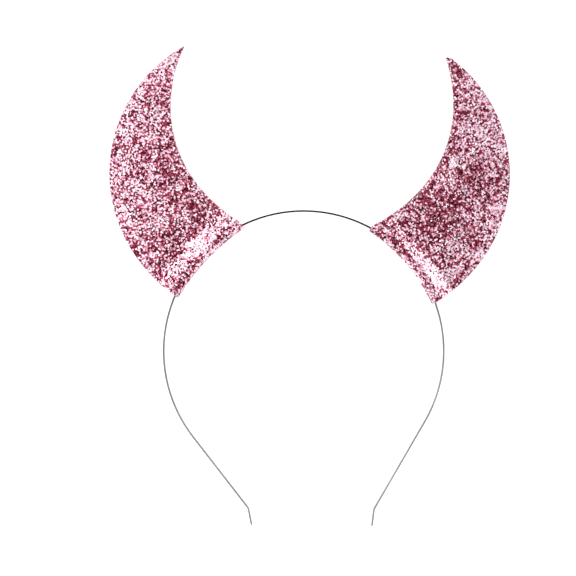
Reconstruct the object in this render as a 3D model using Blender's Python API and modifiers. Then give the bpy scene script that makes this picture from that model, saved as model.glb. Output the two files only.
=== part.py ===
"""A devil horns headband, lying on its side.

A thin steel strip is bent on edge to an arch with two straight legs and short bent tips. Each horn is one
piece of glitter fabric, folded round the strip at its base and glued to itself above it. X runs across the
headband, Y from the tips of the legs to the tips of the horns, and Z up through the strip's width. The
sketches are drawn about the middle of the arch, and an empty carries them to the foot of the model.
"""

import math
from collections import namedtuple

import bmesh
import bpy
from mathutils import Vector

# Steel strip
ARCH_RADIUS = 0.065
BAND_THICKNESS = 0.0008
BAND_WIDTH = 0.006
BAND_END_ROUND = 0.002
LEFT_LEG_LENGTH = 0.0412
RIGHT_LEG_LENGTH = 0.0466
TIP_LENGTH = 0.0078
TIP_BEND_RADIUS = 0.0025
LEFT_ARCH_END = math.radians(127.8)
RIGHT_ARCH_END = math.radians(120.1)
LEFT_TIP_BEND = math.radians(26.5)
RIGHT_TIP_BEND = math.radians(23.0)

# Horn fabric
FABRIC_THICKNESS = 0.001
FABRIC_TO_BAND = 0.0003
FOLD_INNER_RADIUS = 0.0005
FOLD_ABOVE_BAND = 0.0003
FOLD_SLOPE = 0.0085
GLUE_BEAD = 0.0003

# Horn outline, measured from the circle on which the corners of the fold lie
HORN_HALF_ANGLE = math.radians(20.6)
HORN_RISE = 0.0755
HORN_LEAN = 0.0635
FOLD_DROP = 0.0014
BLUNT_CORNER = 0.0033
LEFT_HORN_ANGLE = math.radians(46.4)
RIGHT_HORN_ANGLE = math.radians(49.2)

# Fineness of the faceted curves
ARCH_STEP = math.radians(3.0)
BEND_STEP = math.radians(7.0)
EDGE_STEPS = 26
FOLD_STEPS = 12
RING_STEPS = 108
SLOPE_STEPS = 8
CORNER_STEPS = 3
ROUND_STEPS = 4
SMOOTH_ANGLE = math.radians(35.0)
WELD_DISTANCE = 0.00001
CUT_MARGIN = 0.004

# One leg of the strip. side is -1 for the left one and 1 for the right one.
Leg = namedtuple("Leg", "side arch_end length tip_bend")
LEGS = (
    Leg(-1, LEFT_ARCH_END, LEFT_LEG_LENGTH, LEFT_TIP_BEND),
    Leg(1, RIGHT_ARCH_END, RIGHT_LEG_LENGTH, RIGHT_TIP_BEND),
)

# One horn. rise, lean and drop are shares of HORN_RISE, HORN_LEAN and FOLD_DROP.
Horn = namedtuple("Horn", "name side angle rise lean drop")
HORNS = (
    Horn("horn_left", -1, LEFT_HORN_ANGLE, 0.987, 1.018, 1.25),
    Horn("horn_right", 1, RIGHT_HORN_ANGLE, 1.012, 0.98, 0.68),
)

# A cut edge of a horn, from the blunt corner to the tip. The turns are measured from the straight line
# between the two, and the reaches are shares of its length.
Edge = namedtuple("Edge", "start_turn start_reach end_turn end_reach")
INNER_EDGE = Edge(math.radians(-41.0), 0.43, math.radians(42.8), 0.385)
OUTER_EDGE = Edge(math.radians(-56.0), 0.463, math.radians(57.8), 0.422)


def clear_scene():
    """Removes whatever the scene holds."""
    for thing in list(bpy.data.objects):
        bpy.data.objects.remove(thing, do_unlink=True)


def new_collection(name):
    """A new collection in the scene."""
    made = bpy.data.collections.new(name)
    bpy.context.scene.collection.children.link(made)
    return made


def new_material(name, colour, metallic, roughness):
    """A plain surface of one colour."""
    material = bpy.data.materials.new(name)
    material.use_nodes = True
    shader = material.node_tree.nodes["Principled BSDF"]
    shader.inputs["Base Color"].default_value = (*colour, 1.0)
    shader.inputs["Metallic"].default_value = metallic
    shader.inputs["Roughness"].default_value = roughness
    return material


def frozen(thing, name, collection):
    """The shape of an object as one plain mesh of its own. The object is removed."""
    graph = bpy.context.evaluated_depsgraph_get()
    mesh = bpy.data.meshes.new_from_object(thing.evaluated_get(graph))
    solid = bpy.data.objects.new(name, mesh)
    solid.matrix_world = thing.matrix_world.copy()
    bpy.data.objects.remove(thing, do_unlink=True)
    collection.objects.link(solid)
    form = bmesh.new()
    form.from_mesh(mesh)
    bmesh.ops.remove_doubles(form, verts=form.verts, dist=WELD_DISTANCE)
    bmesh.ops.recalc_face_normals(form, faces=form.faces)
    form.to_mesh(mesh)
    form.free()
    return solid


def slab(name, outline, half_height, collection):
    """A flat outline in the XY plane, given a height above and below it."""
    sketch = bpy.data.curves.new(name, "CURVE")
    sketch.dimensions = "2D"
    sketch.fill_mode = "BOTH"
    sketch.extrude = half_height
    loop = sketch.splines.new("POLY")
    loop.points.add(len(outline) - 1)
    for point, place in zip(loop.points, outline):
        point.co = (place.x, place.y, 0.0, 1.0)
    loop.use_cyclic_u = True
    drawn = bpy.data.objects.new(name + "_sketch", sketch)
    collection.objects.link(drawn)
    bpy.context.view_layer.update()
    return frozen(drawn, name, collection)


def ring(name, section, centre, collection):
    """A closed section turned once round the vertical line through the centre."""
    mesh = bpy.data.meshes.new(name)
    count = len(section)
    corners = [(distance, 0.0, height) for distance, height in section]
    mesh.from_pydata(corners, [(i, (i + 1) % count) for i in range(count)], [])
    spun = bpy.data.objects.new(name, mesh)
    spun.location = centre
    collection.objects.link(spun)
    screw = spun.modifiers.new("turn", "SCREW")
    screw.axis = "Z"
    screw.angle = 2 * math.pi
    screw.steps = RING_STEPS
    screw.render_steps = RING_STEPS
    screw.use_merge_vertices = True
    screw.merge_threshold = WELD_DISTANCE
    return spun


def as_cutter(thing):
    """Keeps an object out of renders, because it only shapes another one."""
    thing.hide_render = True
    thing.display_type = "WIRE"
    return thing


def add_boolean(thing, operation, other):
    """Joins another object to the shape by a Boolean operation."""
    step = thing.modifiers.new(operation.lower(), "BOOLEAN")
    step.operation = operation
    step.solver = "EXACT"
    step.object = other


def shade_round(thing):
    """Shades the curved faces smooth and leaves the real corners sharp."""
    thing.data.shade_smooth()
    thing.data.set_sharp_from_angle(angle=SMOOTH_ANGLE)


def along_arc(place, heading, radius, turn, step):
    """Points and headings along an arc, which bends to the left where turn is positive."""
    count = max(2, math.ceil(abs(turn) / step))
    side = math.copysign(1.0, turn)
    middle = place + radius * side * Vector((-math.sin(heading), math.cos(heading)))
    path = []
    for i in range(1, count + 1):
        now = heading + turn * i / count
        path.append((middle + radius * side * Vector((math.sin(now), -math.cos(now))), now))
    return path


def leg_path(leg):
    """The middle line of a leg from the crown to its tip, drawn on the right, as points and headings."""
    path = [(Vector((0.0, ARCH_RADIUS)), 0.0)]
    path += along_arc(*path[-1], ARCH_RADIUS, -leg.arch_end, ARCH_STEP)
    place, heading = path[-1]
    ahead = Vector((math.cos(heading), math.sin(heading)))
    path.append((place + leg.length * ahead, heading))
    path += along_arc(*path[-1], TIP_BEND_RADIUS, leg.tip_bend, BEND_STEP)
    place, heading = path[-1]
    ahead = Vector((math.cos(heading), math.sin(heading)))
    path.append((place + TIP_LENGTH * ahead, heading))
    return path


def strip_side(leg, offset):
    """The points of one leg, moved off the middle line away from the head."""
    points = []
    for place, heading in leg_path(leg):
        outward = Vector((-math.sin(heading), math.cos(heading)))
        moved = place + offset * outward
        points.append(Vector((leg.side * moved.x, moved.y)))
    return points


def crosses_end(edge, tip):
    """Whether an edge runs across the strip's thickness at this tip."""
    first, second = (vertex.co for vertex in edge.verts)
    from_tip = [(place.xy - tip).length for place in (first, second)]
    at_tip = all(abs(distance - BAND_THICKNESS / 2) < WELD_DISTANCE for distance in from_tip)
    return at_tip and abs(first.z - second.z) < WELD_DISTANCE


def make_band(collection):
    """The strip, with its four end corners rounded."""
    left, right = LEGS
    half = BAND_THICKNESS / 2
    outside = strip_side(left, half)[::-1] + strip_side(right, half)[1:]
    inside = strip_side(right, -half)[::-1] + strip_side(left, -half)[1:]
    band = slab("band", outside + inside, BAND_WIDTH / 2, collection)
    tips = [strip_side(leg, 0.0)[-1] for leg in LEGS]
    form = bmesh.new()
    form.from_mesh(band.data)
    corners = [edge for edge in form.edges if any(crosses_end(edge, tip) for tip in tips)]
    bmesh.ops.bevel(
        form, geom=corners, offset=BAND_END_ROUND, segments=ROUND_STEPS, profile=0.5, affect="EDGES"
    )
    form.to_mesh(band.data)
    form.free()
    shade_round(band)
    return band


def fold_circle():
    """The radius about the arch on which the corners of a fold lie, one fabric under the strip."""
    return ARCH_RADIUS - BAND_THICKNESS / 2 - FABRIC_TO_BAND - FABRIC_THICKNESS


def fold_arc(horn):
    """The fold's radius, the height of its middle above the arch's middle, and its half angle."""
    half_chord = fold_circle() * math.sin(HORN_HALF_ANGLE)
    lowest = fold_circle() - FOLD_DROP * horn.drop
    sagitta = lowest - fold_circle() * math.cos(HORN_HALF_ANGLE)
    radius = (half_chord**2 + sagitta**2) / (2 * sagitta)
    return radius, lowest - radius, math.asin(half_chord / radius)


def edge_points(start, end, edge):
    """A smooth curve between two points, leaving out the start."""
    line = end - start
    leave = turned(line, edge.start_turn) * edge.start_reach
    arrive = turned(line, edge.end_turn) * edge.end_reach
    handles = (start, start + leave, end - arrive, end)
    points = []
    for i in range(1, EDGE_STEPS + 1):
        t = i / EDGE_STEPS
        weights = ((1 - t) ** 3, 3 * t * (1 - t) ** 2, 3 * t * t * (1 - t), t**3)
        points.append(sum((w * p for w, p in zip(weights, handles)), Vector((0.0, 0.0))))
    return points


def turned(vector, angle):
    """A flat vector turned to the left by an angle."""
    cosine, sine = math.cos(angle), math.sin(angle)
    return Vector((cosine * vector.x - sine * vector.y, sine * vector.x + cosine * vector.y))


def placed(horn, point):
    """Carries a point of a horn's own sketch, where up is away from the head, to its place on the arch."""
    moved = turned(point, -horn.angle)
    return Vector((horn.side * moved.x, moved.y))


def horn_outline(horn):
    """The outline of a horn: the fold, then the outer edge up to the tip, and the inner edge down again."""
    radius, middle, half_angle = fold_arc(horn)
    centre = Vector((0.0, middle))

    def on_fold(angle, height):
        return centre + (radius + height) * Vector((math.sin(angle), math.cos(angle)))

    angles = [half_angle * (2 * i / FOLD_STEPS - 1) for i in range(FOLD_STEPS + 1)]
    tip = Vector((-HORN_LEAN * horn.lean, fold_circle() + HORN_RISE * horn.rise))
    inner_corner = on_fold(-half_angle, BLUNT_CORNER)
    outer_corner = on_fold(half_angle, BLUNT_CORNER)
    outer = [outer_corner] + edge_points(outer_corner, tip, OUTER_EDGE)
    inner = [inner_corner] + edge_points(inner_corner, tip, INNER_EDGE)
    points = [on_fold(angle, 0.0) for angle in angles] + outer + inner[-2::-1]
    return [placed(horn, point) for point in points]


def fold_half_width():
    """Half of the fold's width, over the strip, its clearance and the fabric."""
    return BAND_WIDTH / 2 + FABRIC_TO_BAND + FABRIC_THICKNESS


def folded_side(horn, inset, share):
    """Half of the fold's section, as heights above its bottom and half widths.

    It runs round the corner, up the side to just above the strip, and then in along a share of the slope.
    """
    corner = FOLD_INNER_RADIUS + FABRIC_THICKNESS - inset
    widest = fold_half_width() - inset
    strip_bottom = FABRIC_THICKNESS + FABRIC_TO_BAND + FOLD_DROP * horn.drop
    side_top = strip_bottom + BAND_THICKNESS + FOLD_ABOVE_BAND
    points = []
    for i in range(CORNER_STEPS + 1):
        angle = math.pi / 2 * i / CORNER_STEPS
        points.append((inset + corner * (1 - math.cos(angle)), widest - corner * (1 - math.sin(angle))))
    for i in range(SLOPE_STEPS + 1):
        along = share * i / SLOPE_STEPS
        drawn_in = (fold_half_width() - FABRIC_THICKNESS) * (1 - math.cos(math.pi * along)) / 2
        points.append((side_top + FOLD_SLOPE * along, widest - drawn_in))
    return points


def closed_section(radius, side):
    """A whole section from half of one, running down its outer side."""
    lower = [(radius + height, -half) for height, half in side[::-1]]
    upper = [(radius + height, half) for height, half in side]
    return lower + upper


def make_horn(horn, collection, cutters):
    """One horn: the turned fold and its flat plate, cut to the outline, with the strip's tunnel through it."""
    radius, middle, _ = fold_arc(horn)
    centre = placed(horn, Vector((0.0, middle))).to_3d()
    reach = math.hypot(HORN_RISE * horn.rise, HORN_LEAN * horn.lean) + FOLD_DROP * horn.drop + CUT_MARGIN
    skin = folded_side(horn, 0.0, 1.0) + [(reach, FABRIC_THICKNESS)]
    glued = math.acos(2 * GLUE_BEAD / (fold_half_width() - FABRIC_THICKNESS) - 1) / math.pi
    hollow = folded_side(horn, FABRIC_THICKNESS, glued)
    form = ring(horn.name + "_form", closed_section(radius, skin), centre, collection)
    cut_height = fold_half_width() + CUT_MARGIN
    outline = as_cutter(slab(horn.name + "_outline", horn_outline(horn), cut_height, cutters))
    tunnel = as_cutter(ring(horn.name + "_tunnel", closed_section(radius, hollow), centre, cutters))
    add_boolean(form, "INTERSECT", outline)
    add_boolean(form, "DIFFERENCE", tunnel)
    bpy.context.view_layer.update()
    solid = frozen(form, horn.name, collection)
    shade_round(solid)
    return solid


def set_down(parts, collection):
    """Carries the parts by an empty, so that the middle of their foot is the origin."""
    bpy.context.view_layer.update()
    corners = [part.matrix_world @ vertex.co for part in parts for vertex in part.data.vertices]
    low = Vector([min(corner[i] for corner in corners) for i in range(3)])
    high = Vector([max(corner[i] for corner in corners) for i in range(3)])
    carrier = bpy.data.objects.new("arch_middle", None)
    carrier.location = (-(low.x + high.x) / 2, -(low.y + high.y) / 2, -low.z)
    collection.objects.link(carrier)
    for part in parts:
        part.parent = carrier


def main():
    """Builds the headband."""
    clear_scene()
    collection = new_collection("devil_horns_headband")
    cutters = new_collection("cutters")
    steel = new_material("steel", (0.42, 0.42, 0.43), 1.0, 0.32)
    glitter = new_material("pink_glitter", (0.62, 0.27, 0.38), 0.4, 0.35)
    band = make_band(collection)
    band.data.materials.append(steel)
    horns = [make_horn(horn, collection, cutters) for horn in HORNS]
    for horn in horns:
        horn.data.materials.append(glitter)
    set_down([band, *horns], collection)


main()
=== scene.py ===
"""The looks of a devil horns headband that lies on its side, seen from straight above.

Each horn is one sheet of coarse glitter cloth, folded round the steel strip and glued to itself. Its
outline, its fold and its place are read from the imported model, and its flakes are scattered over the cloth
from a seed.
"""

import math
from collections import namedtuple

import bmesh
import bpy
import numpy as np
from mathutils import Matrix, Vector, noise


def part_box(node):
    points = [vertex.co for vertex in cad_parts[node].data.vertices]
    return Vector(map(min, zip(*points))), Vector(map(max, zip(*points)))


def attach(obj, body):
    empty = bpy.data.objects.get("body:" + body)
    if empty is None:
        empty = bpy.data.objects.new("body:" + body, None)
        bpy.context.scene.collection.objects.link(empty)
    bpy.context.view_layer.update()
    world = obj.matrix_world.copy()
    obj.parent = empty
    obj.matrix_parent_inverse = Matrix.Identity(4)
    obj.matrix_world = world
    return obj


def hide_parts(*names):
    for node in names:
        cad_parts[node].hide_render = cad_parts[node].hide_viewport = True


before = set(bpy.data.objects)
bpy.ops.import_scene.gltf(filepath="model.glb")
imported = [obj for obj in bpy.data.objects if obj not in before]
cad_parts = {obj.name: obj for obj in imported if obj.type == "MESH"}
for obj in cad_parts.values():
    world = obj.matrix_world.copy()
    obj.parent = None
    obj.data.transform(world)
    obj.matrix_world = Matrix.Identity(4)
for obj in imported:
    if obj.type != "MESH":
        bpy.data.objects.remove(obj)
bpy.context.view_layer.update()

# The sockets of a Mix node when it mixes colours
MIX_FIRST = 6
MIX_SECOND = 7
MIX_RESULT = 2

# The cloth, in metres. The first three are sizes that the model's horns are made from. FOLD_CORNER is how
# far the fold's corner is rounded, GLITTER_DEPTH the cloth's depth under the face of the horn, and
# GLUE_LINE half the gap between the two glued layers.
CLOTH = 0.001
FOLD_ABOVE_BAND = 0.0003
FOLD_SLOPE = 0.0085
FOLD_CORNER = 0.002
GLITTER_DEPTH = 0.0003
GLUE_LINE = 0.00003

# Reading the model: how near two of its points are the same, how far a face of the front points up at
# least, and how far to each side of a point of the outline its turn is measured
WELD = 0.00002
FACING_UP = 0.02
CORNER_REACH = 0.001

# The grid of the cloth. The tip cuts are how far each horn's cloth ends short of the tip of its edges.
COLUMNS = 46
ROW_STEP = 0.001
CORNER_ROWS = 6
BOTTOM_ROWS = 5
TIP_CUTS = {"horn_left": 0.0003, "horn_right": 0.0024}
CLOTH_SHARP = math.radians(50.0)

# The glued cloth is bent a little across the horn, and has soft waves, which are a slice of noise at one
# level. Both start past the fold.
BEND_RADIUS = 0.22
WAVE_HEIGHT = 0.00045
WAVE_LENGTH = 0.024
WAVE_START = 0.009
WAVE_RAMP = 0.012
WAVE_LEVEL = 7.0

# One scattering of flakes. across is a flake's width, vary the share by which it differs, apart the least
# distance between two middles, lift the height over the cloth and tilt the usual angle to it. LEAST_TILT
# is the least angle, as a share of the usual one. A flake's point is FLAKE_DEPTH under its face. TRIES is
# how many places are tried for each square as wide as the least distance.
Layer = namedtuple("Layer", "across vary apart lift tilt")
LAYERS = (
    Layer(0.00118, 0.16, 0.00064, 0.00002, math.radians(5.0)),
    Layer(0.00098, 0.22, 0.00082, 0.00007, math.radians(11.0)),
)
LEAST_TILT = 0.3
MOST_TILT = math.radians(26.0)
FLAKE_DEPTH = 0.00022
FLAKE_OVERHANG = 0.00006
LEAST_FLAKE = 0.0002
TRIES = 5.0
SEED = 20

# Flakes near each other are somewhat alike. length is the size of such a mottle, and weight its strength.
# Each horn's mottles are a slice of noise at its own level.
Mottle = namedtuple("Mottle", "length weight")
MOTTLES = (Mottle(0.003, 0.8), Mottle(0.018, 0.65))
MOTTLE_LEVELS = {"horn_left": 187.5, "horn_right": 203.5}

# Where the cloth slopes, its flakes are paler, most at one place on each fold. That is a painted highlight,
# which helps the lamps to make the photograph's light patch there. turn is the way to the place from the
# middle of the arch, counted from +X to +Y, and most is how much paler a flake gets.
PaintedHighlight = namedtuple("PaintedHighlight", "turn most")
PAINTED_HIGHLIGHTS = {"horn_left": PaintedHighlight(math.radians(141.0), 0.95), "horn_right": PaintedHighlight(math.radians(36.0), 1.2)}
HIGHLIGHT_SPREAD = math.radians(10.0)
SLOPE_HIGHLIGHT = 12.0

# Flakes at the cut edges are paler, because the horns' edges are in the photograph. The reach is the distance
# over which that fades.
EDGE_PALE = 2.2
EDGE_PALE_REACH = 0.0002

# A flake's cell in its map is one wide. These are the radii of its top and of its sides' outer corners.
MAP_TOP = 0.3
MAP_SIDES = 0.45

# The steel strip: its rounded long edges, and the brightness of its faces and of its narrow edges from the
# ends of the legs to the crown. On the narrow edges this is painted shade and light: darkest at the crown and
# lighter at the right side, as in the photograph. The faces are only a little darker towards the crown. The
# gains are what the brightness is multiplied by at the right side of the arch, which on the narrow edges is
# painted light.
SAME_PLANE = math.radians(1.0)
EDGE_ANGLE = math.radians(60.0)
EDGE_ROUND = 0.00012
EDGE_SEGMENTS = 3
EDGE_UPRIGHT = 0.6
STREAK_STRETCH = (90.0, 90.0, 5200.0)
FACE_GREY = ((0.1, 0.55), (0.95, 0.47))
FACE_GAIN = 1.0
EDGE_GREY_AND_SHADE = ((0.1, 0.3), (0.4, 0.26), (0.65, 0.17), (0.95, 0.02))
EDGE_LIGHT_GAIN = 1.5

# The camera, over the middle of the photograph. Its height is over the face of the horns.
CAMERA_HEIGHT = 2.0
PHOTO_WIDTH = 0.26743
PHOTO_MIDDLE = (-0.01003, -0.00085)
SENSOR = 36.0

# Soft boxes round the headband. turn is the way to the box from the middle, counted from +X to +Y, rise
# its angle above the floor, away its distance, wide and tall its size, and glow the brightness of its
# face.
Lamp = namedtuple("Lamp", "name turn rise away wide tall glow")
LAMPS = (
    Lamp("key_left", 146.0, 36.0, 1.6, 0.4, 0.9, 1.35),
    Lamp("key_right", 36.0, 36.0, 1.6, 0.4, 0.9, 1.25),
    Lamp("low_left", 180.0, 57.0, 0.42, 0.55, 0.55, 0.65),
    Lamp("low_right", 0.0, 57.0, 0.42, 0.55, 0.55, 0.13),
)
FLOOR_SIZE = 12.0
FLOOR_LEVEL = -0.0002
FLOOR_GLOW = 0.35

# The room's brightness over the height of the direction, from the horizon to straight above
ROOM = ((0.7, 1.15), (0.87, 1.12), (0.94, 0.92), (0.985, 0.45), (1.0, 0.29))

BAND_LOW, BAND_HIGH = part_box("band")
BAND_RADIUS = (BAND_HIGH.x - BAND_LOW.x) / 2
ARCH_MIDDLE = np.array([(BAND_LOW.x + BAND_HIGH.x) / 2, BAND_HIGH.y - BAND_RADIUS])

# One horn as read from the model: its two cut edges from the fold to the tip, the fold's middle and
# radius seen from above, the angles of its two ends, the height where the fold's sides end, its half
# width, and the level of its middle.
Horn = namedtuple("Horn", "name sides centre radius ends side_top half level")


def new_material(name):
    """A new material, with its tree and its shader."""
    made = bpy.data.materials.new(name)
    made.use_nodes = True
    return made, made.node_tree, made.node_tree.nodes["Principled BSDF"]


def ramp(tree, factor, stops):
    """A colour ramp over a factor. stops is a list of (place, colour)."""
    node = tree.nodes.new("ShaderNodeValToRGB")
    while len(node.color_ramp.elements) < len(stops):
        node.color_ramp.elements.new(1.0)
    for element, (place, colour) in zip(node.color_ramp.elements, stops):
        element.position = place
        element.color = (*colour, 1.0)
    tree.links.new(factor, node.inputs["Fac"])
    return node.outputs["Color"]


def noise_of(tree, scale, detail=2.0, stretch=(1.0, 1.0, 1.0)):
    """Noise over the piece's own coordinates, stretched by a share along each axis."""
    where = tree.nodes.new("ShaderNodeTexCoord")
    mapping = tree.nodes.new("ShaderNodeMapping")
    mapping.inputs["Scale"].default_value = stretch
    tree.links.new(where.outputs["Object"], mapping.inputs["Vector"])
    node = tree.nodes.new("ShaderNodeTexNoise")
    node.inputs["Scale"].default_value = scale
    node.inputs["Detail"].default_value = detail
    tree.links.new(mapping.outputs["Vector"], node.inputs["Vector"])
    return node.outputs["Fac"]


def carried(tree, factor, low, high, start=0.0, end=1.0):
    """A factor that runs from start to end, carried to the range from low to high."""
    node = tree.nodes.new("ShaderNodeMapRange")
    node.inputs["From Min"].default_value = start
    node.inputs["From Max"].default_value = end
    node.inputs["To Min"].default_value = low
    node.inputs["To Max"].default_value = high
    tree.links.new(factor, node.inputs["Value"])
    return node.outputs["Result"]


def add_bump(tree, height, distance, strength, shader):
    """Raises the surface by a height."""
    node = tree.nodes.new("ShaderNodeBump")
    node.inputs["Distance"].default_value = distance
    node.inputs["Strength"].default_value = strength
    tree.links.new(height, node.inputs["Height"])
    tree.links.new(node.outputs["Normal"], shader.inputs["Normal"])


def multiplied(tree, first, second):
    """One colour times another."""
    node = tree.nodes.new("ShaderNodeMix")
    node.data_type = "RGBA"
    node.blend_type = "MULTIPLY"
    node.inputs["Factor"].default_value = 1.0
    tree.links.new(first, node.inputs[MIX_FIRST])
    tree.links.new(second, node.inputs[MIX_SECOND])
    return node.outputs[MIX_RESULT]


def steel_material(name, along_strip, gain):
    """Rolled strip steel with streaks along its length. along_strip is its brightness from the ends up; on the
    narrow edges that and gain are painted shade and light.
    """
    made, tree, shader = new_material(name)
    shader.inputs["Metallic"].default_value = 1.0
    streaks = noise_of(tree, 1.0, 3.0, STREAK_STRETCH)
    streaked = ramp(tree, streaks, [(0.35, (0.84, 0.84, 0.85)), (0.65, (1.0, 1.0, 1.0))])
    patches = ramp(tree, noise_of(tree, 70.0), [(0.3, (0.8, 0.8, 0.81)), (0.7, (1.0, 1.0, 1.0))])
    where = tree.nodes.new("ShaderNodeTexCoord")
    split = tree.nodes.new("ShaderNodeSeparateXYZ")
    tree.links.new(where.outputs["Object"], split.inputs["Vector"])
    height = carried(tree, split.outputs["Y"], 0.0, 1.0, BAND_LOW.y, BAND_HIGH.y)
    # Brightness by height: on the narrow edges a painted shade, darkest at the crown; on the faces a little
    # darker towards the crown
    grey_along_strip = ramp(tree, height, [(place, (grey, grey, 1.03 * grey)) for place, grey in along_strip])
    # Brighter towards the right side by the gain: on the narrow edges a painted light
    gained = carried(tree, split.outputs["X"], 1.0, gain, 0.0, BAND_HIGH.x)
    colour = multiplied(tree, multiplied(tree, streaked, patches), multiplied(tree, grey_along_strip, gained))
    tree.links.new(colour, shader.inputs["Base Color"])
    tree.links.new(carried(tree, streaks, 0.2, 0.42), shader.inputs["Roughness"])
    add_bump(tree, streaks, 0.00002, 0.4, shader)
    return made


def foil_material():
    """Metallic pink foil. Each flake has its own tone, from deep rose to nearly white; near each fold the
    tones are paler, a painted highlight.
    """
    made, tree, shader = new_material("pink_foil")
    tone = tree.nodes.new("ShaderNodeAttribute")
    tone.attribute_name = "tone"
    stops = [
        (0.0, (0.025, 0.001, 0.003)),
        (0.25, (0.14, 0.008, 0.021)),
        (0.48, (0.44, 0.052, 0.1)),
        (0.58, (0.77, 0.42, 0.56)),
        (0.72, (0.97, 0.67, 0.81)),
        (1.0, (1.0, 0.88, 0.95)),
    ]
    tree.links.new(ramp(tree, tone.outputs["Fac"], stops), shader.inputs["Base Color"])
    shader.inputs["Metallic"].default_value = 1.0
    shader.inputs["Coat Weight"].default_value = 0.08
    shader.inputs["Coat Roughness"].default_value = 0.12
    grain = noise_of(tree, 2600.0)
    tree.links.new(carried(tree, grain, 0.2, 0.38), shader.inputs["Roughness"])
    add_bump(tree, grain, 0.00003, 0.25, shader)
    return made


def dust_material():
    """The cloth between the flakes, under a layer of fine rose glitter dust."""
    made, tree, shader = new_material("rose_dust")
    grain = noise_of(tree, 3200.0, 1.0)
    stops = [(0.35, (0.1, 0.008, 0.02)), (0.55, (0.3, 0.06, 0.11)), (0.68, (0.75, 0.4, 0.5))]
    tree.links.new(ramp(tree, grain, stops), shader.inputs["Base Color"])
    shader.inputs["Metallic"].default_value = 0.5
    tree.links.new(carried(tree, grain, 0.3, 0.6), shader.inputs["Roughness"])
    add_bump(tree, grain, 0.0001, 0.6, shader)
    return made


def backing_material():
    """The plain side of the cloth, a fine pale rose weave, which shows at the cut edges and in the fold."""
    made, tree, shader = new_material("rose_backing")
    where = tree.nodes.new("ShaderNodeTexCoord")
    weave = tree.nodes.new("ShaderNodeMath")
    weave.operation = "MAXIMUM"
    for socket, direction in enumerate(("X", "Y")):
        thread = tree.nodes.new("ShaderNodeTexWave")
        thread.bands_direction = direction
        thread.inputs["Scale"].default_value = 900.0
        thread.inputs["Distortion"].default_value = 6.0
        thread.inputs["Detail"].default_value = 3.0
        thread.inputs["Detail Scale"].default_value = 2.0
        tree.links.new(where.outputs["Object"], thread.inputs["Vector"])
        tree.links.new(thread.outputs["Fac"], weave.inputs[socket])
    threads = weave.outputs["Value"]
    colour = ramp(tree, threads, [(0.2, (0.6, 0.29, 0.36)), (0.9, (0.8, 0.48, 0.56))])
    tree.links.new(colour, shader.inputs["Base Color"])
    tree.links.new(carried(tree, threads, 0.95, 0.75), shader.inputs["Roughness"])
    add_bump(tree, threads, 0.00008, 0.5, shader)
    return made


def seen_from_above(node):
    """The outline of a node as seen from above, as flat points in order."""
    form = bmesh.new()
    form.from_mesh(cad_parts[node].data)
    bmesh.ops.remove_doubles(form, verts=form.verts, dist=WELD)
    form.normal_update()
    start = max(form.faces, key=lambda face: face.calc_area() * face.normal.z)
    region, waiting = {start}, [start]
    while waiting:
        for edge in waiting.pop().edges:
            for face in edge.link_faces:
                if face not in region and face.normal.z > FACING_UP:
                    region.add(face)
                    waiting.append(face)
    rim = {edge for face in region for edge in face.edges if not region.issuperset(edge.link_faces)}
    edge = min(rim, key=lambda each: each.index)
    vertex = edge.verts[0]
    loop = []
    while edge is not None:
        rim.remove(edge)
        loop.append(tuple(vertex.co.xy))
        vertex = edge.other_vert(vertex)
        edge = next((each for each in vertex.link_edges if each in rim), None)
    form.free()
    return np.array(loop)


def run_of(line):
    """The length of a line up to each of its points."""
    return np.concatenate([[0.0], np.cumsum(np.linalg.norm(np.diff(line, axis=0), axis=1))])


def at_lengths(line, lengths):
    """The points of a line at some lengths from its start."""
    return np.stack([np.interp(lengths, run_of(line), line[:, i]) for i in (0, 1)], axis=-1)


def sharp_corners(loop):
    """The three places where a closed line turns most, which are the tip and the two ends of the fold."""
    thrice = np.vstack([loop, loop, loop])
    here = run_of(thrice)[len(loop) : 2 * len(loop)]
    ahead = at_lengths(thrice, here + CORNER_REACH) - loop
    behind = loop - at_lengths(thrice, here - CORNER_REACH)
    straight = (ahead * behind).sum(1) / (np.linalg.norm(ahead, axis=1) * np.linalg.norm(behind, axis=1))
    chosen = []
    for i in np.argsort(straight, kind="stable"):
        if all(np.linalg.norm(loop[i] - loop[j]) > 3 * CORNER_REACH for j in chosen):
            chosen.append(int(i))
    return chosen[:3]


def circle_through(a, b, c):
    """The middle and the radius of the circle through three flat points."""
    rows = 2 * np.array([b - a, c - a])
    middle = np.linalg.solve(rows, [b @ b - a @ a, c @ c - a @ a])
    return middle, float(np.linalg.norm(a - middle))


def read_horn(node):
    """Reads a horn's edges and fold from the model."""
    loop = seen_from_above(node)
    corners = sharp_corners(loop)
    tip = max(corners, key=lambda i: np.linalg.norm(loop[i] - ARCH_MIDDLE))
    loop = np.roll(loop, -tip, axis=0)
    start, end = sorted((i - tip) % len(loop) for i in corners if i != tip)
    sides = (loop[start::-1], np.vstack([loop[end:], loop[:1]]))
    fold = loop[start : end + 1]
    middle = at_lengths(fold, run_of(fold)[-1] / 2)
    centre, radius = circle_through(fold[0], middle, fold[-1])
    ends = np.unwrap([math.atan2(*(point - centre)[::-1]) for point in (fold[0], fold[-1])])
    side_top = BAND_RADIUS + FOLD_ABOVE_BAND - float(np.linalg.norm(middle - ARCH_MIDDLE))
    low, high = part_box(node)
    return Horn(node, sides, centre, radius, ends, side_top, (high.z - low.z) / 2, (low.z + high.z) / 2)


def fold_points(horn, height):
    """A row of points along the fold, a height over its edge."""
    angles = np.linspace(*horn.ends, COLUMNS + 1)
    return horn.centre + (horn.radius + height) * np.stack([np.cos(angles), np.sin(angles)], axis=-1)


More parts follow.
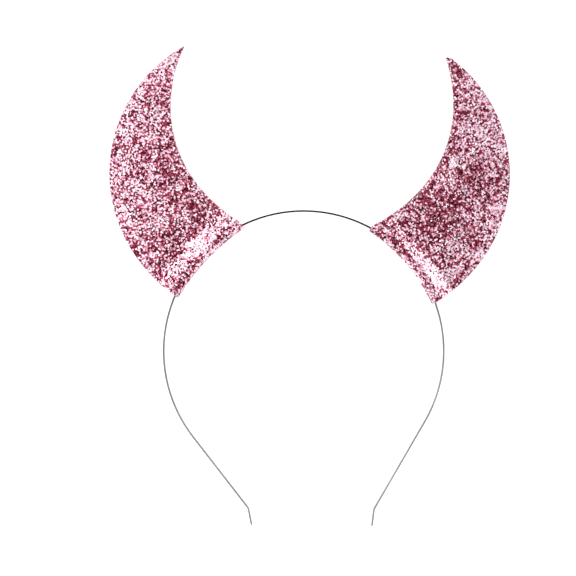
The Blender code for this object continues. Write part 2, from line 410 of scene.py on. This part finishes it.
def plate_points(horn, length):
    """A row of points across the plate, a length up its shorter side. It ranges from arc to straight."""
    shorter = min(run_of(side)[-1] for side in horn.sides)
    share = length / shorter
    first, second = (
        at_lengths(side, length + (run_of(side)[-1] - shorter) * share**2) for side in horn.sides
    )
    across = np.linspace(0.0, 1.0, COLUMNS + 1)[:, None]
    arc = fold_points(horn, length)
    bulge = arc - (arc[0] + across * (arc[-1] - arc[0]))
    return first + across * (second - first) + (1 - share) ** 2 * bulge


def half_width(horn, heights):
    """The fold's half width at some heights over its edge, and how fast it changes with the height."""
    along = np.clip((heights - horn.side_top) / FOLD_SLOPE, 0.0, 1.0)
    drop = (horn.half - CLOTH) / 2
    half = horn.half - drop * (1 - np.cos(math.pi * along))
    return half, -drop * math.pi / FOLD_SLOPE * np.sin(math.pi * along)


def rises(points, heights):
    """How far the glued cloth lies over its plane: a slight bend across the horn, and soft waves."""
    share = np.clip((heights - WAVE_START) / WAVE_RAMP, 0.0, 1.0)
    half = np.linalg.norm(points[-1] - points[0]) / 2
    across = np.linspace(-half, half, len(points))
    waves = [noise.noise(Vector((*(point / WAVE_LENGTH), WAVE_LEVEL))) for point in points]
    return share * (WAVE_HEIGHT * np.array(waves) + (half**2 / 2 - across**2) / (2 * BEND_RADIUS))


def cloth_row(horn, points, side, depth, fold_half=None, fold_slope=None):
    """One row of the cloth in space, a depth under its face. The half width is given in the fold's corner."""
    from_centre = points - horn.centre
    distance = np.linalg.norm(from_centre, axis=1)
    heights = distance - horn.radius
    if fold_half is None:
        half, change = half_width(horn, heights)
        outward = np.stack([-change, np.ones_like(change)], axis=1)
        outward /= np.linalg.norm(outward, axis=1)[:, None]
    else:
        half = np.full(len(points), fold_half)
        outward = np.tile(fold_slope, (len(points), 1))
    flat = points - depth * outward[:, :1] * from_centre / distance[:, None]
    level = horn.level + side * (half - depth * outward[:, 1]) + rises(points, heights)
    return np.column_stack([flat, level])


def cloth_grid(horn, depth):
    """The rows of the cloth from the tip of its upper layer, round the fold, to the tip of the lower one."""
    end = min(run_of(side)[-1] for side in horn.sides) - TIP_CUTS[horn.name]
    lengths = np.linspace(FOLD_CORNER, end, round((end - FOLD_CORNER) / ROW_STEP) + 1)
    halves = {1: [], -1: []}
    for side, rows in halves.items():
        for length in lengths[::-1]:
            rows.append(cloth_row(horn, plate_points(horn, length), side, depth))
        for i in range(CORNER_ROWS - 1, -1, -1):
            angle = math.pi / 2 * i / CORNER_ROWS
            points = fold_points(horn, FOLD_CORNER * (1 - math.cos(angle)))
            half = horn.half - FOLD_CORNER * (1 - math.sin(angle))
            outward = (-math.cos(angle), math.sin(angle))
            rows.append(cloth_row(horn, points, side, depth, half, outward))
    straight = horn.half - FOLD_CORNER
    foot = fold_points(horn, 0.0)
    bottom = [
        cloth_row(horn, foot, 1, depth, straight * (1 - 2 * i / BOTTOM_ROWS), (-1.0, 0.0))
        for i in range(1, BOTTOM_ROWS)
    ]
    return np.array(halves[1] + bottom + halves[-1][::-1])


def make_cloth(horn, materials):
    """The folded sheet of a horn, with its thickness, as one closed mesh."""
    outer = cloth_grid(horn, GLITTER_DEPTH)
    inner = cloth_grid(horn, CLOTH - GLUE_LINE)
    rows, columns = outer.shape[:2]
    index = np.arange(rows * columns).reshape(rows, columns)
    quads = np.stack([index[:-1, :-1], index[1:, :-1], index[1:, 1:], index[:-1, 1:]], axis=-1)
    quads = quads.reshape(-1, 4)
    rim = np.concatenate([index[:-1, 0], index[-1, :-1], index[:0:-1, -1], index[0, :0:-1]])
    ahead = np.roll(rim, -1)
    under = index.size
    walls = np.stack([rim, ahead, ahead + under, rim + under], axis=-1)
    faces = np.concatenate([quads, quads[:, ::-1] + under, walls])
    points = np.concatenate([outer.reshape(-1, 3), inner.reshape(-1, 3)])
    mesh = bpy.data.meshes.new(horn.name + "_cloth")
    mesh.from_pydata(points.tolist(), [], faces.tolist())
    mesh.polygons.foreach_set("material_index", [0] * len(quads) + [1] * (len(quads) + len(walls)))
    for each in materials:
        mesh.materials.append(each)
    form = bmesh.new()
    form.from_mesh(mesh)
    bmesh.ops.recalc_face_normals(form, faces=form.faces)
    form.to_mesh(mesh)
    form.free()
    mesh.shade_smooth()
    mesh.set_sharp_from_angle(angle=CLOTH_SHARP)
    piece = bpy.data.objects.new(horn.name + "_cloth", mesh)
    bpy.context.scene.collection.objects.link(piece)
    return piece, outer


def edge_distance(horn, points):
    """The distance of flat points from the nearer cut edge of a horn."""
    nearest = np.full(len(points), np.inf)
    for side in horn.sides:
        for start, end in zip(side[:-1], side[1:]):
            line = end - start
            along = np.clip((points - start) @ line / max(line @ line, 1e-16), 0.0, 1.0)
            gap = np.linalg.norm(points - start - along[:, None] * line, axis=1)
            nearest = np.minimum(nearest, gap)
    return nearest


def kept_apart(points, apart):
    """Which points stay when each has to lie some distance from all that came before it."""
    cells, kept = {}, []
    keys = np.floor(points / apart).astype(int)
    around = [(i, j, k) for i in (-1, 0, 1) for j in (-1, 0, 1) for k in (-1, 0, 1)]
    listed = points.tolist()
    least = apart * apart
    for number, ((x, y, z), (a, b, c)) in enumerate(zip(listed, keys.tolist())):
        near = (place for i, j, k in around for place in cells.get((a + i, b + j, c + k), ()))
        if all((x - p) ** 2 + (y - q) ** 2 + (z - r) ** 2 >= least for p, q, r in near):
            cells.setdefault((a, b, c), []).append((x, y, z))
            kept.append(number)
    return kept


def scattered(grid, layer, rng):
    """Even random places on a grid of the cloth, and the way out of it there."""
    corner = grid[:-1, :-1].reshape(-1, 3)
    down = (grid[1:, :-1] - grid[:-1, :-1]).reshape(-1, 3)
    right = (grid[:-1, 1:] - grid[:-1, :-1]).reshape(-1, 3)
    far = (grid[1:, 1:] - grid[:-1, :-1]).reshape(-1, 3)
    cross = np.cross(down, right)
    area = np.linalg.norm(cross, axis=1)
    count = int(TRIES * area.sum() / layer.apart**2)
    chosen = rng.choice(len(area), count, p=area / area.sum())
    s, t = rng.random((2, count, 1))
    places = corner[chosen] + s * down[chosen] + t * right[chosen]
    places += s * t * (far - down - right)[chosen]
    kept = kept_apart(places, layer.apart)
    ways = (cross / area[:, None])[chosen][kept]
    return places[kept], ways


def highlight_and_edge_paleness(horn, places, ways):
    """How much paler the flakes are at the cut edges, and where the cloth slopes as a painted highlight."""
    # The fold's painted highlight: paler flakes round one place on each fold
    pale = PAINTED_HIGHLIGHTS[horn.name]
    around = places[:, :2] - ARCH_MIDDLE
    aside = np.arctan2(around[:, 1], around[:, 0]) - pale.turn
    share = np.exp(-((aside / HIGHLIGHT_SPREAD) ** 2) / 2)
    at_edge = EDGE_PALE * np.exp(-edge_distance(horn, places[:, :2]) / EDGE_PALE_REACH)
    return at_edge + share * np.minimum(SLOPE_HIGHLIGHT * (1 - np.abs(ways[:, 2])), pale.most)


def mottled_and_highlighted(horn, places, ways, rng):
    """A tone from 0 to 1 for each flake, spread evenly over that range, with the folds' painted highlight in
    it.
    """
    value = rng.normal(size=len(places)) + highlight_and_edge_paleness(horn, places, ways)
    level = MOTTLE_LEVELS[horn.name]
    for mottle in MOTTLES:
        flat = (places[:, :2] / mottle.length).tolist()
        value += mottle.weight * np.array([noise.noise(Vector((x, y, level))) for x, y in flat])
    return np.argsort(np.argsort(value, kind="stable"), kind="stable") / (len(places) - 1)


def make_glitter(horn, name, grid, inside_out, foil, seed):
    """The flakes on one layer of a horn's cloth, as small closed hexagons with a point sunk in the cloth."""
    rng = np.random.default_rng(seed)
    parts = []
    for layer in LAYERS:
        places, ways = scattered(grid, layer, rng)
        if inside_out:
            ways = -ways
        radii = layer.across / 2 * (1 + layer.vary * rng.uniform(-1.0, 1.0, len(places)))
        room = edge_distance(horn, places[:, :2]) + FLAKE_OVERHANG
        radii = np.minimum(radii, room)
        tilts = np.abs(rng.normal(0.0, layer.tilt, len(places))) + LEAST_TILT * layer.tilt
        room = np.arcsin(np.minimum((GLITTER_DEPTH - layer.lift) / radii, 1.0))
        tilts = np.minimum(tilts, np.minimum(room, MOST_TILT))
        parts.append((places + layer.lift * ways, ways, radii, tilts))
    places, ways, radii, tilts = (np.concatenate(values) for values in zip(*parts))
    big = radii > LEAST_FLAKE
    places, ways, radii, tilts = places[big], ways[big], radii[big], tilts[big]
    tones = mottled_and_highlighted(horn, places, ways, rng)
    mesh = flake_mesh(name, places, ways, radii, tilts, tones, rng)
    points = np.empty(3 * len(mesh.vertices), np.float32)
    mesh.vertices.foreach_get("co", points)
    points[2::3] = np.maximum(points[2::3], horn.level - horn.half)
    mesh.vertices.foreach_set("co", points)
    mesh.materials.append(foil)
    piece = bpy.data.objects.new(name, mesh)
    bpy.context.scene.collection.objects.link(piece)
    return piece


def unit(vectors):
    """Vectors made one long."""
    return vectors / np.linalg.norm(vectors, axis=-1, keepdims=True)


def flake_mesh(name, places, ways, radii, tilts, tones, rng):
    """One mesh of hexagonal flakes, each with its tone, and a map that gives each flake its own cell."""
    count = len(places)
    first = unit(np.cross(ways, rng.normal(size=(count, 3))))
    second = np.cross(ways, first)
    up = unit(ways + np.tan(tilts)[:, None] * first)
    second = unit(np.cross(up, first))
    first = np.cross(second, up)
    turns = rng.uniform(0.0, 2 * math.pi, (count, 1)) + np.arange(6) * math.pi / 3
    rim = np.cos(turns)[..., None] * first[:, None] + np.sin(turns)[..., None] * second[:, None]
    rim = places[:, None] + radii[:, None, None] * rim
    points = np.concatenate([rim, (places - FLAKE_DEPTH * up)[:, None]], axis=1)
    sides = [(0, 1, 2, 3, 4, 5)] + [((i + 1) % 6, i, 6) for i in range(6)]
    faces = [[7 * flake + corner for corner in side] for flake in range(count) for side in sides]
    mesh = bpy.data.meshes.new(name)
    mesh.from_pydata(points.reshape(-1, 3).tolist(), [], faces)
    tone = mesh.attributes.new("tone", "FLOAT", "POINT")
    tone.data.foreach_set("value", np.repeat(tones, 7).astype(np.float32))
    add_map(mesh, count)
    return mesh


def add_map(mesh, count):
    """A map with a square cell for each flake: its top in the middle and its six sides round it."""
    angles = np.arange(6) * math.pi / 3
    inner = MAP_TOP * np.stack([np.cos(angles), np.sin(angles)], axis=-1)
    angles = angles + math.pi / 6
    outer = MAP_SIDES * np.stack([np.cos(angles), np.sin(angles)], axis=-1)
    corners = list(inner)
    for i in range(6):
        corners += [inner[(i + 1) % 6], inner[i], outer[i]]
    across = math.ceil(math.sqrt(count))
    cells = np.stack([np.arange(count) % across, np.arange(count) // across], axis=-1)
    places = (cells[:, None] + 0.5 + np.array(corners)) / across
    layer = mesh.uv_layers.new(name="OFBake")
    layer.uv.foreach_set("vector", places.astype(np.float32).ravel())


def make_band(steel, slit):
    """The steel strip: the model's own shape, with its long edges rounded."""
    form = bmesh.new()
    form.from_mesh(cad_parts["band"].data)
    bmesh.ops.remove_doubles(form, verts=form.verts, dist=WELD)
    bmesh.ops.dissolve_limit(form, angle_limit=SAME_PLANE, verts=form.verts, edges=form.edges)
    sharp = [edge for edge in form.edges if edge.calc_face_angle(0.0) > EDGE_ANGLE]
    bmesh.ops.bevel(
        form, geom=sharp, offset=EDGE_ROUND, segments=EDGE_SEGMENTS, profile=0.5, affect="EDGES"
    )
    mesh = bpy.data.meshes.new("band_steel")
    form.to_mesh(mesh)
    form.free()
    mesh.shade_smooth()
    mesh.materials.append(steel)
    mesh.materials.append(slit)
    for face in mesh.polygons:
        face.material_index = int(abs(face.normal.z) > EDGE_UPRIGHT)
    piece = bpy.data.objects.new("band_steel", mesh)
    bpy.context.scene.collection.objects.link(piece)
    return piece


def make_floor():
    """A plain pale floor."""
    bpy.ops.mesh.primitive_plane_add(size=FLOOR_SIZE, location=(0.0, 0.0, FLOOR_LEVEL))
    floor = bpy.context.object
    floor.name = "floor"
    made, _, shader = new_material("pale_floor")
    shader.inputs["Base Color"].default_value = (0.9, 0.9, 0.9, 1.0)
    shader.inputs["Roughness"].default_value = 1.0
    shader.inputs["Specular IOR Level"].default_value = 0.0
    shader.inputs["Emission Color"].default_value = (1.0, 1.0, 1.0, 1.0)
    shader.inputs["Emission Strength"].default_value = FLOOR_GLOW
    floor.data.materials.append(made)


def make_camera():
    """A long lens straight above, as in the photograph."""
    lens = bpy.data.cameras.new("camera")
    lens.sensor_width = SENSOR
    lens.lens = SENSOR * CAMERA_HEIGHT / PHOTO_WIDTH
    camera = bpy.data.objects.new("camera", lens)
    low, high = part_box("horn_left")
    camera.location = (*PHOTO_MIDDLE, (low.z + high.z) / 2 + CLOTH + CAMERA_HEIGHT)
    bpy.context.scene.collection.objects.link(camera)
    bpy.context.scene.camera = camera


def make_lights():
    """The soft boxes, and a plain room that is dimmer overhead."""
    for lamp in LAMPS:
        data = bpy.data.lights.new(lamp.name, "AREA")
        data.shape = "RECTANGLE"
        data.size = lamp.wide
        data.size_y = lamp.tall
        data.energy = lamp.glow * math.pi * lamp.wide * lamp.tall
        turn = math.radians(lamp.turn)
        rise = math.radians(lamp.rise)
        way = Vector((math.cos(turn) * math.cos(rise), math.sin(turn) * math.cos(rise), math.sin(rise)))
        light = bpy.data.objects.new(lamp.name, data)
        light.location = lamp.away * way
        light.rotation_euler = way.to_track_quat("Z", "Y").to_euler()
        light.visible_camera = False
        bpy.context.scene.collection.objects.link(light)
    world = bpy.data.worlds.new("room")
    world.use_nodes = True
    tree = world.node_tree
    where = tree.nodes.new("ShaderNodeTexCoord")
    split = tree.nodes.new("ShaderNodeSeparateXYZ")
    tree.links.new(where.outputs["Generated"], split.inputs["Vector"])
    colour = ramp(tree, split.outputs["Z"], [(place, (glow, glow, glow)) for place, glow in ROOM])
    tree.links.new(colour, tree.nodes["Background"].inputs["Color"])
    bpy.context.scene.world = world
    bpy.context.scene.view_settings.view_transform = "Standard"


def laid_flat(horn, grid):
    """The flat width and length of a horn's cloth, and its area. grid runs through the cloth's middle."""
    fold = fold_points(horn, 0.0)[COLUMNS // 2]
    out = unit(fold - horn.centre)
    plan = grid[..., :2] - fold
    width = np.ptp(plan @ np.array([-out[1], out[0]]))
    column = grid[:, COLUMNS // 2]
    taken_up = run_of(column)[-1] - run_of(column[:, :2])[-1]
    down = (grid[1:, :-1] - grid[:-1, :-1]).reshape(-1, 3)
    right = (grid[:-1, 1:] - grid[:-1, :-1]).reshape(-1, 3)
    area = np.linalg.norm(np.cross(down, right), axis=1).sum()
    return (float(width), float(2 * (plan @ out).max() + taken_up)), float(area)


def dress_horn(node, materials, foil, seed):
    """A horn's cloth and its glitter, in place of the plain solid."""
    horn = read_horn(node)
    cloth, grid = make_cloth(horn, materials)
    middle = len(grid) // 2
    upward = np.cross(grid[1, 0] - grid[0, 0], grid[0, 1] - grid[0, 0])[2] > 0
    halves = (("upper", grid[: middle + 1]), ("lower", grid[middle:]))
    glitter = []
    for place, (word, half) in enumerate(halves):
        name = f"{node}_glitter_{word}"
        glitter.append(make_glitter(horn, name, half, not upward, foil, seed + place))
    for piece in (cloth, *glitter):
        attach(piece, "root")
    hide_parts(node)
    size, area = laid_flat(horn, cloth_grid(horn, CLOTH / 2))


def main():
    """Dresses the headband."""
    make_camera()
    make_lights()
    make_floor()
    face = steel_material("steel_face", FACE_GREY, FACE_GAIN)
    band = make_band(face, steel_material("steel_edge", EDGE_GREY_AND_SHADE, EDGE_LIGHT_GAIN))
    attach(band, "root")
    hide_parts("band")
    foil = foil_material()
    materials = (dust_material(), backing_material())
    for number, node in enumerate(("horn_left", "horn_right")):
        dress_horn(node, materials, foil, SEED + 10 * number)


main()
